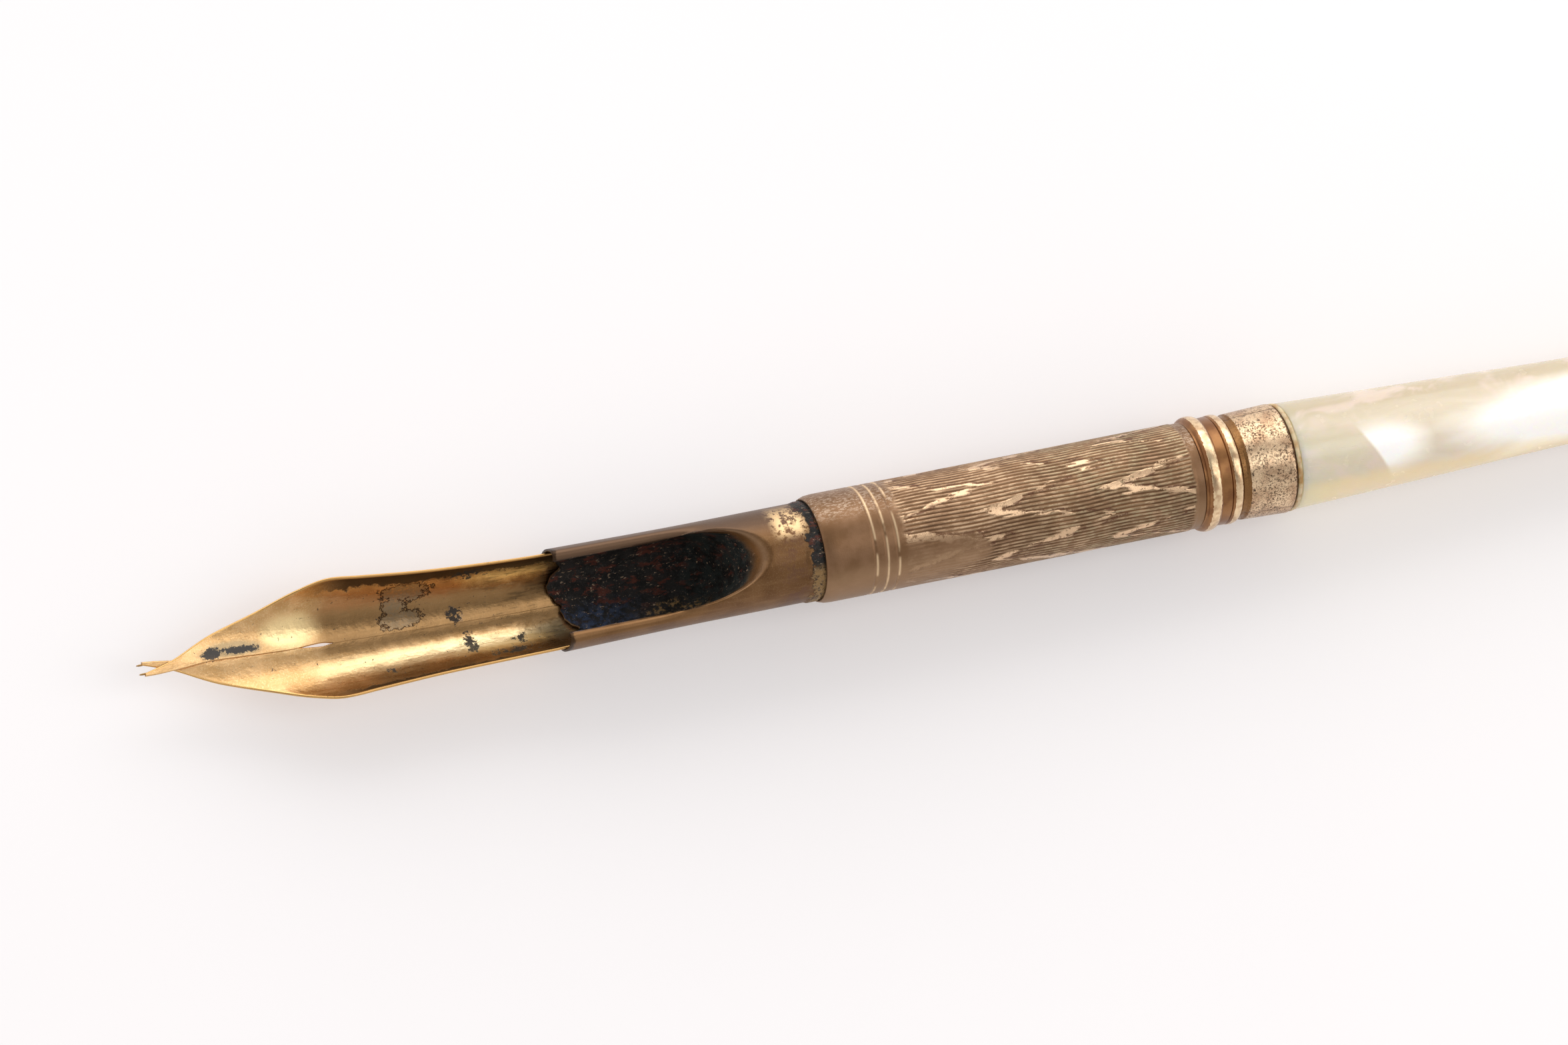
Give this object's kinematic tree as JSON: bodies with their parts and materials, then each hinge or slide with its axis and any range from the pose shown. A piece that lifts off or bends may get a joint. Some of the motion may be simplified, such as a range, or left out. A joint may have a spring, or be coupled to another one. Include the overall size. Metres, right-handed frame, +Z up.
{
  "type": "dip pen",
  "caption": "Dip pen with a sprung two-tined nib held in a pressed tubular nib holder, a chased metal ferrule with turned rings, and a tapering mother-of-pearl handle.",
  "frame": {"origin": "on the desk, under the middle of the outline", "axes": "+X from the nib's point towards the handle's tail, +Z up with the hollow side of the nib upwards, +Y to the nib's left; the pen lies at rest on its large bead and its tail, so its own axis leans 1.45 degrees from +X, nib end high"},
  "size_m": [0.166, 0.0084, 0.0083],
  "materials": {
    "nib_gold": "satin",
    "nib_point": "gloss",
    "holder_brass": "satin",
    "sleeve_gilt": "satin",
    "ring_gilt": "gloss",
    "band_gilt": "satin",
    "inner_brass": "satin",
    "core_wood": "matte",
    "cement": "satin",
    "pearl": "gloss"
  },
  "bodies": {
    "handle": {"pearl_handle": "pearl", "cement_ring": "cement", "rear_band": "band_gilt", "small_bead_ring": "ring_gilt", "large_bead_ring": "ring_gilt", "chased_sleeve": "sleeve_gilt", "lining_tube": "inner_brass", "wood_core": "core_wood", "dowel_pin": "inner_brass"},
    "holder": {"nib_holder": "holder_brass"},
    "nib": {"nib_body": "nib_gold"},
    "left_tine": {"tine_left": "nib_gold", "point_left": "nib_point"},
    "right_tine": {"tine_right": "nib_gold", "point_right": "nib_point"}
  },
  "joints": [
    {"name": "holder_pull", "type": "slide", "parent": "handle", "child": "holder", "axis": [-0.9997, 0, 0.0254], "range_m": [0, 0.0115]},
    {"name": "nib_pull", "type": "slide", "parent": "holder", "child": "nib", "axis": [-0.9997, 0, 0.0254], "range_m": [0, 0.0084]},
    {"name": "left_tine_flex", "type": "hinge", "parent": "nib", "child": "left_tine", "pos_m": [-0.06904, 0.00014, 0.00235], "axis": [-0.0053, -0.9781, -0.2078], "range_deg": [0, 12], "stiffness_Nm_per_rad": 0.008},
    {"name": "right_tine_flex", "type": "hinge", "parent": "nib", "child": "right_tine", "pos_m": [-0.06904, 0.00014, 0.00235], "axis": [0.0053, -0.9781, 0.2078], "range_deg": [0, 12], "stiffness_Nm_per_rad": 0.008}
  ],
  "couplings": [
    {"joint": "right_tine_flex", "follows": "left_tine_flex", "ratio": 1}
  ]
}
